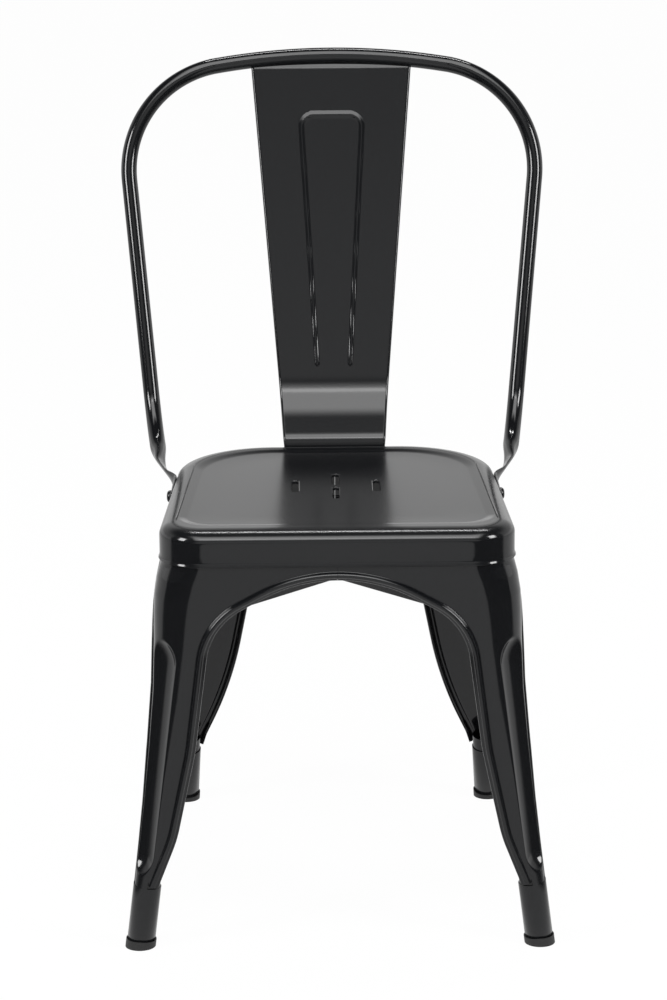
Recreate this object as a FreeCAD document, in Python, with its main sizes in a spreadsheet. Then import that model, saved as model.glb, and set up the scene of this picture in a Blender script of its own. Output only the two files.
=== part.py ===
import FreeCAD, Part
import math
import os
import Sketcher
from FreeCAD import Placement, Rotation, Vector

# Stacking bistro chair in pressed and painted sheet steel, in millimetres.
# X is to the chair's left and right, the chair faces -Y, and Z is up.
# While it is built, Y is measured from the middle of the seat. At the end every piece is shifted
# so that the origin is on the floor, under the middle of the whole chair.

doc = FreeCAD.newDocument("bistro_chair")
sheet = doc.addObject("Spreadsheet::Sheet", "sizes")


class Size:
    """A number, kept together with the spreadsheet expression that it comes from."""

    def __init__(self, value, text):
        self.value = value
        self.text = text

    def __add__(self, other):
        other = as_size(other)
        return Size(self.value + other.value, f"({self.text} + {other.text})")

    def __radd__(self, other):
        return as_size(other) + self

    def __sub__(self, other):
        other = as_size(other)
        return Size(self.value - other.value, f"({self.text} - {other.text})")

    def __rsub__(self, other):
        return as_size(other) - self

    def __mul__(self, other):
        other = as_size(other)
        return Size(self.value * other.value, f"({self.text} * {other.text})")

    def __rmul__(self, other):
        return as_size(other) * self

    def __truediv__(self, other):
        other = as_size(other)
        return Size(self.value / other.value, f"({self.text} / {other.text})")

    def __neg__(self):
        return Size(-self.value, f"(-{self.text})")

    def __float__(self):
        return float(self.value)


def as_size(number):
    return number if isinstance(number, Size) else Size(float(number), repr(float(number)))


# Driving dimensions. Each goes into the sheet below, and every piece reads it from there.

# Sheet metal and fits
gauge = 1.2
fit_gap = 0.2

# Seat pan
seat_height = 439
skirt_depth = 36
seat_front_half = 178.6
seat_rear_inset = 15.6
seat_front = 179
seat_rear = 183
seat_front_radius = 45
seat_rear_radius = 100
seat_edge_radius = 13
dish_depth = 2.5
dish_side = 16.5
dish_front = 28
dish_rear = 20
dish_corner_radius = 34
dish_rear_radius = 86
slot_width = 7
slot_length = 46
slot_spread = 42
slot_pitch = 55
slot_middle = 9.5
slot_lip = 2.5

# Legs, with the widths of their faces at the shoulder, knee and ankle of the arches
leg_top_lap = 20
foot_front_spread = 38.8
leg_brow_drop = 74
leg_brow_spread = 4.6
leg_waist_height = 270
leg_waist_spread = 8
leg_calf_height = 150
leg_calf_spread = 19.7
foot_rear_spread = 24
foot_rear_run = 103
tube_radius = 14.2
tube_top = 104
tube_foot = 4.5
flange_end = 66
bead_radius = 4.2
bead_proud = 3.8
bead_proud_knee = 2.4
bead_proud_ankle = 1.2
flute_reach = 25.5
flute_reach_low = 17
flute_offset = 10
flute_top_drop = 135
flute_bottom = 104
arch_share = 0.6
crown_pitch = 28.6
shoulder_drop = 98
shoulder_radius = 68
shoulder_share = 0.3332
thigh_height = 210
thigh_radius = 250
thigh_width = 48.5
knee_height = 118
knee_radius = 150
knee_width = 38.7
ankle_height = 74
ankle_width = 27
rear_shoulder_radius = 60
rear_shoulder_share = 0.5276
rear_thigh_height = 149
rear_thigh_radius = 480
rear_thigh_width = 60.8
rear_knee_height = 80
rear_knee_radius = 30
rear_knee_width = 34.2
rear_ankle_height = 68
rear_ankle_width = 31.3

# Back hoop
hoop_height = 852.5
hoop_radius = 8.6
hoop_wall = 1.5
back_lean = 15.11
crown_angle = 10
crown_share = 0.5706
hoop_corner_share = 0.5
hoop_shoulder_flare = 35.8
hoop_bend_spread = 33.1
hoop_bend_rise = 9
hoop_bend_back = 28.6
hoop_bend_radius = 80
hoop_run_forward = 43
hoop_run_inset = 9
hoop_ease_radius = 60
flatten_share = 0.45
flatten_twist = 32
tab_height = 20
tab_thickness = 3.4
tab_start_forward = 101
tab_end_forward = 161
tab_slope = 0.12
screw_forward = 137
screw_drop = 22
screw_radius = 3
hole_clearance = 0.1
screw_head_radius = 6.5
screw_head_height = 4.5
nut_flats = 10
nut_height = 5

# Back splat
splat_top_half = 87.4
splat_low_half = 51.8
splat_lip = 7
splat_top_drop = 6
splat_fold_rise = 42
splat_fold_radius = 50
splat_foot_rise = 5
splat_foot_radius = 14
splat_end_drop = 28
emboss_radius = 3
emboss_proud = 1.2
emboss_top_half = 34
emboss_low_half = 18
emboss_top_drop = 65
emboss_length = 274
emboss_corner = 14

# Feet and under-seat braces
glide_height = 9
glide_lip = 1.2
glide_plug = 18
brace_drop = 105
brace_depth = 25
brace_gauge = 3


def in_sheet(row, alias, value):
    """Writes one driving dimension into the sheet and reads it back as a Size."""
    sheet.set(f"A{row}", alias)
    sheet.set(f"B{row}", str(value))
    sheet.setAlias(f"B{row}", alias)
    sheet.recompute()
    return Size(float(sheet.get(alias)), f"sizes.{alias}")


driving = [alias for alias, value in globals().items() if isinstance(value, (int, float))]
for row, alias in enumerate(driving, 1):
    globals()[alias] = in_sheet(row, alias, globals()[alias])

# Places that go with the seat, and the hoop's own proportions
seat_rear_half = seat_front_half - seat_rear_inset
shoulder_width = seat_front_half * shoulder_share
rear_shoulder_width = seat_rear_half * rear_shoulder_share
foot_front_half = seat_front_half + foot_front_spread
leg_brow_height = seat_height - leg_brow_drop
front_levels = [(seat_height - skirt_depth, seat_front_half - gauge - fit_gap),
                (leg_brow_height, seat_front_half + leg_brow_spread),
                (leg_waist_height, seat_front_half + leg_waist_spread),
                (leg_calf_height, seat_front_half + leg_calf_spread), (0, foot_front_half)]
foot_rear_half = seat_rear_half + foot_rear_spread
foot_rear_reach = seat_rear + foot_rear_run
tab_start_y = seat_rear - tab_start_forward
tab_end_y = seat_rear - tab_end_forward
screw_y = seat_rear - screw_forward
hoop_run_y = seat_rear - hoop_run_forward
hoop_bend_half = seat_rear_half + hoop_bend_spread
hoop_shoulder_half = hoop_bend_half + hoop_shoulder_flare
hoop_corner_radius = hoop_shoulder_half * hoop_corner_share
crown_radius = hoop_shoulder_half * crown_share / math.sin(math.radians(float(crown_angle)))
flute_top = seat_height - flute_top_drop
shoulder_height = seat_height - shoulder_drop
hoop_bend_height = seat_height + hoop_bend_rise
screw_z = seat_height - screw_drop
splat_fold_height = seat_height + splat_fold_rise
splat_foot_height = seat_height + splat_foot_rise
splat_end_height = seat_height - splat_end_drop
brace_low = seat_height - brace_drop
hoop_back_rise = hoop_height - hoop_radius - hoop_bend_height
hoop_top_y = seat_rear + hoop_bend_back + hoop_back_rise * math.tan(math.radians(float(back_lean)))
far = float(hoop_height)


# Helpers for sketches

def plane_of(body, role):
    return [f for f in body.Origin.OriginFeatures if f.Role == role][0]


def bind_constraint(sketch, index, size):
    if isinstance(size, Size):
        sketch.setExpression(f"Constraints[{index}]", size.text)


def corner_arc(before, corner, after, radius):
    """The tangent points and the middle of the arc that rounds a corner."""
    to_before = (before - corner).normalize()
    to_after = (after - corner).normalize()
    half = to_before.getAngle(to_after) / 2
    reach = radius / math.tan(half)
    centre = corner + (to_before + to_after).normalize() * (radius / math.sin(half))
    middle = centre + (corner - centre).normalize() * radius
    return corner + to_before * reach, middle, corner + to_after * reach, centre


def rounded_sketch(body, name, role, corners, radii, offset=0.0):
    """A closed sketch through the given corners, each rounded by a bound radius."""
    sketch = body.newObject("Sketcher::SketchObject", name)
    sketch.AttachmentSupport = [(plane_of(body, role), "")]
    sketch.MapMode = "FlatFace"
    if isinstance(offset, Size):
        sketch.setExpression(".AttachmentOffset.Base.z", offset.text)
    points = [Vector(float(x), float(y), 0) for x, y in corners]
    count = len(points)
    arcs = [corner_arc(points[i - 1], points[i], points[(i + 1) % count], float(radii[i]))
            for i in range(count)]
    for i in range(count):
        start = arcs[i][2]
        end = arcs[(i + 1) % count][0]
        sketch.addGeometry(Part.LineSegment(start, end), False)
    for i in range(count):
        sketch.addGeometry(Part.Arc(*arcs[i][:3]), False)
    for i in range(count):
        sketch.addGeometry(Part.Point(points[i]), True)
    for i in range(count):
        for kind, size in (("DistanceX", corners[i][0]), ("DistanceY", corners[i][1])):
            index = sketch.addConstraint(Sketcher.Constraint(kind, 2 * count + i, 1, float(size)))
            bind_constraint(sketch, index, size)
        sketch.addConstraint(Sketcher.Constraint("PointOnObject", 2 * count + i, 1, i))
        following = 2 * count + (i + 1) % count
        sketch.addConstraint(Sketcher.Constraint("PointOnObject", following, 1, i))
    for i in range(count):
        arc = count + i
        turn = (arcs[i][0] - arcs[i][3]).cross(arcs[i][2] - arcs[i][3]).z
        first, last = (1, 2) if turn > 0 else (2, 1)
        sketch.addConstraint(Sketcher.Constraint("Tangent", i - 1 if i else count - 1, 2, arc, first))
        sketch.addConstraint(Sketcher.Constraint("Tangent", arc, last, i, 1))
        index = sketch.addConstraint(Sketcher.Constraint("Radius", arc, float(radii[i])))
        bind_constraint(sketch, index, radii[i])
    return sketch


def pad(body, name, sketch, length, reverse=False):
    feature = body.newObject("PartDesign::Pad", name)
    feature.Profile = sketch
    feature.Reversed = reverse
    feature.Length = float(length)
    feature.setExpression("Length", length.text)
    return feature


def edges_where(shape, test):
    return [f"Edge{i + 1}" for i, edge in enumerate(shape.Edges) if test(edge)]


# Helpers for shapes

def rounded_path(points, radii):
    """An open wire of straight runs and tangent arcs. radii are those of the inner points."""
    edges = []
    start = points[0]
    for i in range(1, len(points) - 1):
        first, middle, last, centre = corner_arc(points[i - 1], points[i], points[i + 1], radii[i - 1])
        if (first - start).Length > 1e-6:
            edges.append(Part.LineSegment(start, first).toShape())
        edges.append(Part.Arc(first, middle, last).toShape())
        start = last
    edges.append(Part.LineSegment(start, points[-1]).toShape())
    return Part.Wire(edges)


def rounded_loop(points, radii):
    """A closed wire of straight runs and tangent arcs."""
    count = len(points)
    arcs = [corner_arc(points[i - 1], points[i], points[(i + 1) % count], radii[i]) for i in range(count)]
    edges = []
    for i in range(count):
        first, middle, last, centre = arcs[i]
        edges.append(Part.Arc(first, middle, last).toShape())
        edges.append(Part.LineSegment(last, arcs[(i + 1) % count][0]).toShape())
    return Part.Wire(edges)


def pipe(path, radius):
    edge = path.OrderedEdges[0]
    start = edge.valueAt(edge.FirstParameter)
    along = edge.tangentAt(edge.FirstParameter)
    section = Part.Face(Part.Wire(Part.makeCircle(radius, start, along)))
    return path.makePipe(section)


def block(low, high):
    size = high - low
    return Part.makeBox(size.x, size.y, size.z, low)


pieces = {}


def add_shape(name, shape, keep=True):
    feature = doc.addObject("Part::Feature", name)
    feature.Shape = shape
    if keep:
        pieces[name] = feature
    return feature


# Seat pan: a pressed tray with a rolled edge, a shallow dish and four drain slots

def tray(name, inset, top, bottom, edge_radius):
    """A solid block with the seat's outline, a rounded top edge and a sunk dish."""
    front = seat_front_half - inset
    rear = seat_rear_half - inset
    near = inset - seat_front
    far = seat_rear - inset
    body = doc.addObject("PartDesign::Body", name)
    corners = [(-front, near), (front, near), (rear, far), (-rear, far)]
    radii = [seat_front_radius - inset] * 2 + [seat_rear_radius - inset] * 2
    outline = rounded_sketch(body, f"{name}_outline", "XY_Plane", corners, radii, bottom)
    blank = pad(body, f"{name}_blank", outline, top - bottom)
    doc.recompute()
    rim = body.newObject("PartDesign::Fillet", f"{name}_edge")
    high = float(top)
    rim.Base = (blank, edges_where(blank.Shape, lambda e: e.BoundBox.ZMin > high - 0.01))
    rim.Radius = float(edge_radius)
    rim.setExpression("Radius", edge_radius.text)
    doc.recompute()
    front = seat_front_half - dish_side + inset
    rear = seat_rear_half - dish_side + inset
    near = dish_front - seat_front - inset
    far = seat_rear - dish_rear + inset
    corners = [(-front, near), (front, near), (rear, far), (-rear, far)]
    radii = [dish_corner_radius + inset] * 2 + [dish_rear_radius + inset] * 2
    hollow = rounded_sketch(body, f"{name}_dish_outline", "XY_Plane", corners, radii, top)
    dish = body.newObject("PartDesign::Pocket", f"{name}_dish")
    dish.Profile = hollow
    dish.Length = float(dish_depth)
    dish.setExpression("Length", dish_depth.text)
    dish.TaperAngle = -40
    before = body.Shape.Volume
    doc.recompute()
    if not body.Shape.Volume < before - 1:
        raise RuntimeError(f"{name}_dish did not cut")
    return body


skirt_bottom = seat_height - skirt_depth
outer_tray = tray("tray_outside", as_size(0), seat_height, skirt_bottom, seat_edge_radius)
inner_tray = tray("tray_inside", gauge, seat_height - gauge, skirt_bottom - 1, seat_edge_radius - gauge)


def slot_shape(x, y, half_width, half_length, low, high):
    """An upright block with round ends, for one drain slot."""
    straight = half_length - half_width
    shape = block(Vector(x - half_width, y - straight, low), Vector(x + half_width, y + straight, high))
    for end in (y - straight, y + straight):
        shape = shape.fuse(Part.makeCylinder(half_width, high - low, Vector(x, end, low)))
    return shape


def drain_slots(grow, low, high):
    side = slot_spread.value
    middle = slot_middle.value
    pitch = slot_pitch.value / 2
    half_width = slot_width.value / 2 + grow
    half_length = slot_length.value / 2 + grow
    places = [(-side, middle), (side, middle), (0, middle + pitch), (0, middle - pitch)]
    shapes = [slot_shape(x, y, half_width, half_length, low, high) for x, y in places]
    return shapes[0].multiFuse(shapes[1:])


dish_top = seat_height.value - dish_depth.value
lips = drain_slots(gauge.value, dish_top - gauge.value - slot_lip.value, dish_top - gauge.value / 2)
holes = drain_slots(0, skirt_bottom.value, seat_height.value)
pan = outer_tray.Shape.cut(inner_tray.Shape).fuse(lips).cut(holes).removeSplitter()

# Leg frame: a tapering four-sided shell with round corners, which the arches divide into four legs

lap_gap = (gauge + fit_gap).value
skin = gauge.value
frame_z = skirt_bottom.value
frame_front = -(seat_front.value - lap_gap)
frame_rear = seat_rear.value - lap_gap
top_front_half = seat_front_half.value - lap_gap
top_rear_half = seat_rear_half.value - lap_gap
foot_front = foot_front_half.value
calf_z = leg_calf_height.value
waist_z = leg_waist_height.value
brow_z = leg_brow_height.value
front_profile = [(float(z), float(half)) for z, half in front_levels]
foot_rear = foot_rear_half.value
foot_back = foot_rear_reach.value
rear_slope = (foot_back - frame_rear) / frame_z


def level_half(z):
    """Half of the frame's width at its front, from straight runs between the levels."""
    if z >= frame_z:
        return top_front_half
    for (high_z, high_half), (low_z, low_half) in zip(front_profile, front_profile[1:]):
        if z >= low_z or low_z == 0:
            return low_half + (high_half - low_half) * (z - low_z) / (high_z - low_z)


def frame_quad(z, inset):
    """Corners of the frame's outline at a height: front left, front right, rear right, rear left."""
    share = max(0, (frame_z - z) / frame_z)
    front_half = level_half(z) - inset
    rear_half = top_rear_half + (foot_rear - top_rear_half) * share - inset
    rear = frame_rear + (foot_back - frame_rear) * share - inset
    front = frame_front + inset
    return [Vector(-front_half, front, z), Vector(front_half, front, z),
            Vector(rear_half, rear, z), Vector(-rear_half, rear, z)]


def frame_block(inset, low, high):
    """The solid inside the frame's outline, from one height to another."""
    wires = []
    for z in (low, tube_top.value, calf_z, waist_z, brow_z, frame_z, high):
        share = max(0, min(1, (z - tube_top.value) / (frame_z - tube_top.value)))
        radius = tube_radius.value
        front = radius + (seat_front_radius.value - lap_gap - radius) * share - inset
        rear = radius + (seat_rear_radius.value - lap_gap - radius) * share - inset
        wires.append(rounded_loop(frame_quad(z, inset), [front, front, rear, rear]))
    return Part.makeLoft(wires, True, True)


def side_point(side, y, z):
    """A point of the left (-1) or right (1) face of the frame."""
    front_left, front_right, rear_right, rear_left = frame_quad(z, 0)
    share = (y - front_right.y) / (rear_right.y - front_right.y)
    return Vector(side * (front_right.x + (rear_right.x - front_right.x) * share), y, z)


def face_point(face, u, z):
    """A point of one of the four faces, with u along the face and z above the floor."""
    if face == "front":
        return Vector(u, frame_front, z)
    if face == "rear":
        return Vector(u, frame_rear + rear_slope * (frame_z - z), z)
    return side_point(-1 if face == "left" else 1, u, z)


def face_normal(face, u, z):
    here = face_point(face, u, z)
    across = face_point(face, u + 1, z) - here
    up = face_point(face, u, z + 1) - here
    normal = across.cross(up).normalize()
    outwards = here - Vector(0, 0, z)
    return normal if normal.dot(outwards) > 0 else normal * -1


def corner_lines(face, z):
    """Where the face's two corner lines are, along the face."""
    front_left, front_right, rear_right, rear_left = frame_quad(z, 0)
    if face == "front":
        return front_left.x, front_right.x
    if face == "rear":
        return rear_left.x, rear_right.x
    return front_right.y, rear_right.y


# Heights, radii and widths of a leg's face at the shoulder, thigh, knee and ankle of its arch
front_leg = ((shoulder_height.value, shoulder_radius.value, shoulder_width.value),
             (thigh_height.value, thigh_radius.value, thigh_width.value),
             (knee_height.value, knee_radius.value, knee_width.value),
             (ankle_height.value, 0, ankle_width.value))
rear_leg = ((shoulder_height.value, rear_shoulder_radius.value, rear_shoulder_width.value),
            (rear_thigh_height.value, rear_thigh_radius.value, rear_thigh_width.value),
            (rear_knee_height.value, rear_knee_radius.value, rear_knee_width.value),
            (rear_ankle_height.value, 0, rear_ankle_width.value))
leg_pairs = {"front": (front_leg, front_leg), "rear": (rear_leg, rear_leg),
             "left": (front_leg, rear_leg), "right": (front_leg, rear_leg)}


def arch_line(face):
    """The arch as corners (u, z) and radii, from the left ankle over the crown to the right one."""
    low_leg, high_leg = leg_pairs[face]
    low_side = [(corner_lines(face, z)[0] + width, z) for z, radius, width in low_leg]
    high_side = [(corner_lines(face, z)[1] - width, z) for z, radius, width in high_leg]
    span = high_side[0][0] - low_side[0][0]
    pitch = math.radians(crown_pitch.value)
    crown = ((high_side[0][0] + low_side[0][0]) / 2, shoulder_height.value + span / 2 * math.tan(pitch))
    crown_radius = span / 2 * arch_share.value / math.sin(pitch)
    corners = low_side[::-1] + [crown] + high_side
    radii = [radius for z, radius, width in low_leg[2::-1]] + [crown_radius]
    radii = radii + [radius for z, radius, width in high_leg[:3]]
    return corners, radii


def offset_line(corners, radii, distance):
    """An open line of corners moved sideways, to its left, with its radii changed to suit."""
    runs = []
    for (x0, y0), (x1, y1) in zip(corners, corners[1:]):
        length = math.hypot(x1 - x0, y1 - y0)
        runs.append((x0, y0, (x1 - x0) / length, (y1 - y0) / length))
    moved = [(runs[0][0] - runs[0][3] * distance, runs[0][1] + runs[0][2] * distance)]
    new_radii = []
    for first, second, radius in zip(runs, runs[1:], radii):
        turn = first[2] * second[3] - first[3] * second[2]
        cosine = first[2] * second[2] + first[3] * second[3]
        shift = distance * (1 - cosine) / turn
        x = second[0] - second[3] * distance - second[2] * shift
        y = second[1] + second[2] * distance - second[3] * shift
        moved.append((x, y))
        new_radii.append(radius + distance if turn < 0 else radius - distance)
    last = runs[-1]
    moved.append((corners[-1][0] - last[3] * distance, corners[-1][1] + last[2] * distance))
    return moved, new_radii


def arch_tool(face):
    """The block that cuts an arch through a face, out to the middle of its rolled bead."""
    corners, radii = offset_line(*arch_line(face), bead_radius.value)
    low = flange_end.value - 10
    loop = [(corners[0][0], low)] + corners + [(corners[-1][0], low)]
    sizes = [1] + [1] + radii + [1] + [1]
    if face in ("front", "rear"):
        depth = Vector(0, foot_back - frame_rear + 60, 0)
        start = frame_front - 40 if face == "front" else frame_rear - 40
        wire = rounded_loop([Vector(u, start, z) for u, z in loop], sizes)
    else:
        near = seat_rear_half.value * 0.7
        depth = Vector(foot_front - near + 20, 0, 0)
        start = -foot_front - 20 if face == "left" else near
        wire = rounded_loop([Vector(start, u, z) for u, z in loop], sizes)
    return Part.Face(wire).extrude(depth)


def bead(face):
    """The rolled bead along an arch, which stands proud of its face."""
    corners, radii = offset_line(*arch_line(face), bead_radius.value)
    proud = [bead_proud_ankle.value, bead_proud_knee.value] + [bead_proud.value] * 3
    proud = proud + proud[-2::-1]
    points = [face_point(face, u, z) - face_normal(face, u, z) * (bead_radius.value - out)
              for (u, z), out in zip(corners, proud)]
    return pipe(rounded_path(points, radii), bead_radius.value)


def tube_block(corner, radius, low, high):
    """A length of the round tube that a leg ends in, touching both faces of its corner."""
    foot = frame_quad(0, 0)[corner]
    along = (frame_quad(calf_z, 0)[corner] - foot).normalize()
    inwards = tube_radius.value * (1 if foot.y < 0 else math.hypot(1, rear_slope))
    foot = foot - Vector(math.copysign(tube_radius.value, foot.x), math.copysign(inwards, foot.y), 0)
    start = foot + along * (low / along.z)
    return Part.makeCylinder(radius, (high - low) / along.z, start, along)


def flute_tool(corner, grow):
    """A long tapering tool with round ends, which presses the hollow into a leg's outer corner."""
    ends = []
    for z, reach in ((flute_top.value, flute_reach.value), (flute_bottom.value, flute_reach_low.value)):
        point = frame_quad(z, 0)[corner]
        outwards = flute_offset.value
        point = point + Vector(math.copysign(outwards, point.x), math.copysign(outwards, point.y), 0)
        ends.append((point, math.hypot(reach + outwards, outwards) + grow))
    (high, high_radius), (low, low_radius) = ends
    cone = Part.makeCone(low_radius, high_radius, (high - low).Length, low, high - low)
    return cone.multiFuse([Part.makeSphere(high_radius, high), Part.makeSphere(low_radius, low)])


frame_low = flange_end.value
frame_high = frame_z + leg_top_lap.value
outside = frame_block(0, frame_low, frame_high)
inside = frame_block(skin, frame_low - 1, frame_high + 1)
outside = outside.cut([flute_tool(c, 0) for c in range(4)])
pressed_inside = inside.cut([flute_tool(c, skin) for c in range(4)])
shell = outside.cut(pressed_inside).removeSplitter()
faces = ("front", "rear", "left", "right")
shell = shell.cut([arch_tool(face) for face in faces])
tubes = []
for c in range(4):
    ring = tube_block(c, tube_radius.value, -5, tube_top.value)
    bore = tube_block(c, tube_radius.value - skin, -6, tube_top.value + 1)
    tubes.append(ring.cut([bore, flute_tool(c, 0)]))
frame = shell.fuse([bead(face) for face in faces] + tubes)
frame = frame.cut(block(Vector(-far, -far, -20), Vector(far, far, tube_foot.value)))

# The screws that hold the hoop stand square on the skirt's sides
skirt_turn = math.atan2(seat_front_half.value - seat_rear_half.value, seat_front.value + seat_rear.value)


def skirt_point(side, y, z, out):
    """A point at a distance outside the skirt's straight left (-1) or right (1) side."""
    half = seat_front_half.value - math.tan(skirt_turn) * (y + seat_front.value)
    return Vector(side * (half + out * math.cos(skirt_turn)), y + out * math.sin(skirt_turn), z)


def screw_axis(side):
    start = skirt_point(side, screw_y.value, screw_z.value, -30)
    return start, skirt_point(side, screw_y.value, screw_z.value, 30) - start


screw_holes = []
for side in (-1, 1):
    start, along = screw_axis(side)
    screw_holes.append(Part.makeCylinder(screw_radius.value + hole_clearance.value, along.Length, start, along))

seam = fit_gap.value / 2
side_middle = arch_line("left")[0][4][0]
quarters = {"front_leg_left": (-far, -far, -seam, side_middle - seam),
            "front_leg_right": (seam, -far, far, side_middle - seam),
            "rear_leg_left": (-far, side_middle + seam, -seam, far),
            "rear_leg_right": (seam, side_middle + seam, far, far)}
for name, (x0, y0, x1, y1) in quarters.items():
    leg = frame.common(block(Vector(x0, y0, -1), Vector(x1, y1, frame_high + 1))).cut(screw_holes)
    add_shape(name, leg)

add_shape("seat_pan", pan.cut(screw_holes))

# Back hoop: one bent tube, leaning back, with its ends flattened against the seat's skirt

lean = math.radians(back_lean.value)


def back_point(x, down):
    """A point of the back's leaning plane, with down measured from the hoop's highest centre."""
    y = hoop_top_y.value - down * math.sin(lean)
    return Vector(x, y, hoop_height.value - hoop_radius.value - down * math.cos(lean))


# The crown's arc is a rounded corner between two lines that meet above its middle
half_angle = math.radians(crown_angle.value)
peak = crown_radius.value * (1 / math.cos(half_angle) - 1)
shoulder_x = hoop_shoulder_half.value
shoulder_down = shoulder_x * math.tan(half_angle) - peak
bend_down = hoop_back_rise.value / math.cos(lean)
bend_x = hoop_bend_half.value
tab_out = tab_thickness.value / 2
tab_rise = tab_slope.value
tab_start = skirt_point(1, tab_start_y.value, screw_z.value, tab_out)
tab_start.z = screw_z.value + tab_rise * (tab_start_y.value - screw_y.value)
ease_z = tab_start.z + (hoop_run_y.value - tab_start_y.value) * tab_rise
ease = Vector(bend_x - hoop_run_inset.value, hoop_run_y.value, ease_z)
shoulder = back_point(shoulder_x, shoulder_down)
bend = back_point(bend_x, bend_down)
bend_start, bend_middle, bend_end, bend_centre = corner_arc(shoulder, bend, ease, hoop_bend_radius.value)


def bend_point(first, second):
    """The point of the bend's arc halfway between two of its points."""
    half = (first - bend_centre) + (second - bend_centre)
    return bend_centre + half.normalize() * hoop_bend_radius.value


def mirrored(point):
    return Vector(-point.x, point.y, point.z)


tab_flow = skirt_point(1, tab_start_y.value - 1, 0, 0) - skirt_point(1, tab_start_y.value, 0, 0)
tab_flow.z = -tab_rise
tab_flow.normalize()
upper_points = [bend_start, shoulder, back_point(0, -peak), mirrored(shoulder), mirrored(bend_start)]
upper_radii = [hoop_corner_radius.value, crown_radius.value, hoop_corner_radius.value]
upper_path = rounded_path(upper_points, upper_radii)
half_bend = [bend_middle, bend_point(bend_middle, bend_start), bend_start]
bend_right = Part.Arc(*half_bend).toShape()
bend_left = Part.Arc(*[mirrored(p) for p in half_bend[::-1]]).toShape()
hoop_path = Part.Wire([bend_right] + upper_path.OrderedEdges + [bend_left])
hoop = pipe(hoop_path, hoop_radius.value).cut(pipe(hoop_path, hoop_radius.value - hoop_wall.value))


def smooth(share):
    share = max(0, min(1, share))
    return share * share * (3 - 2 * share)


# The right end's own path, from the middle of the bend to the tab
end_arc = Part.Arc(bend_middle, bend_point(bend_middle, bend_end), bend_end).toShape()
end_path = Part.Wire([end_arc] + rounded_path([bend_end, ease, tab_start], [hoop_ease_radius.value]).OrderedEdges)


def end_section(index, count):
    """Points of a section of the right end, from round to a plate that twists until it is upright."""
    share = index / count
    trail = end_path.discretize(count * 8 + 1)
    centre = trail[index * 8]
    along = (trail[min(index * 8 + 1, count * 8)] - trail[max(index * 8 - 1, 0)]).normalize()
    into_tab = smooth((share - 0.8) / 0.2)
    along = (along * (1 - into_tab) + tab_flow * into_tab).normalize()
    pressed = smooth(share / flatten_share.value)
    radius = hoop_radius.value - hoop_wall.value / 10
    half_height = radius + (tab_height.value / 2 - radius) * pressed
    half_width = radius + (tab_out * (1.5 - share / 2) - radius) * pressed
    inwards = Vector(-1, 0, 0)
    side = (inwards - along * inwards.dot(along)).normalize()
    up = side.cross(along).normalize()
    twist = math.radians(flatten_twist.value) * pressed * (1 - smooth((share - 0.55) / 0.45))
    side, up = side * math.cos(twist) + up * math.sin(twist), up * math.cos(twist) - side * math.sin(twist)
    points = []
    for step in range(16):
        angle = 2 * math.pi * (step + 0.5) / 16
        squareness = 1 - 0.4 * pressed
        x = math.copysign(abs(math.cos(angle)) ** squareness, math.cos(angle)) * half_width
        y = math.copysign(abs(math.sin(angle)) ** squareness, math.sin(angle)) * half_height
        points.append(centre + side * x + up * y)
    return points


def hoop_end(side):
    """The tube's end pressed flat, from round to a plate that lies along the skirt."""
    place = (lambda p: p) if side > 0 else mirrored
    sections = []
    for index in range(11):
        curve = Part.BSplineCurve()
        curve.interpolate([place(p) for p in end_section(index, 10)], PeriodicFlag=True)
        sections.append(Part.Wire(curve.toShape()))
    neck = Part.makeLoft(sections, True, False)
    up = tab_flow.cross(Vector(1, 0, 0)).normalize()
    up = up if up.z > 0 else up * -1
    length = (tab_start.y - tab_end_y.value) / -tab_flow.y
    half = tab_height.value / 2
    normal = tab_flow.cross(up).normalize()
    normal = normal if normal.x > 0 else normal * -1
    low = tab_start - normal * tab_out
    tip = low + tab_flow * (length - half)
    outline = Part.Wire([
        Part.LineSegment(place(low - up * half), place(tip - up * half)).toShape(),
        Part.Arc(place(tip - up * half), place(tip + tab_flow * half), place(tip + up * half)).toShape(),
        Part.LineSegment(place(tip + up * half), place(low + up * half)).toShape(),
        Part.LineSegment(place(low + up * half), place(low - up * half)).toShape()])
    plate = Part.Face(outline).extrude(place(normal) * tab_thickness.value)
    return neck.fuse(plate)


back_hoop = hoop.fuse([hoop_end(-1), hoop_end(1)]).cut(screw_holes)
add_shape("back_hoop", back_hoop)

# Back splat: a bent sheet with turned edges and a pressed inverted U

splat_top = back_point(0, splat_top_drop.value)
splat_fold = back_point(0, (hoop_height.value - hoop_radius.value - splat_fold_height.value) / math.cos(lean))
rear_face = seat_rear.value + fit_gap.value
profile = [splat_top, splat_fold, Vector(0, rear_face + skin / 2, splat_foot_height.value),
           Vector(0, rear_face + skin / 2, splat_end_height.value)]


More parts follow.
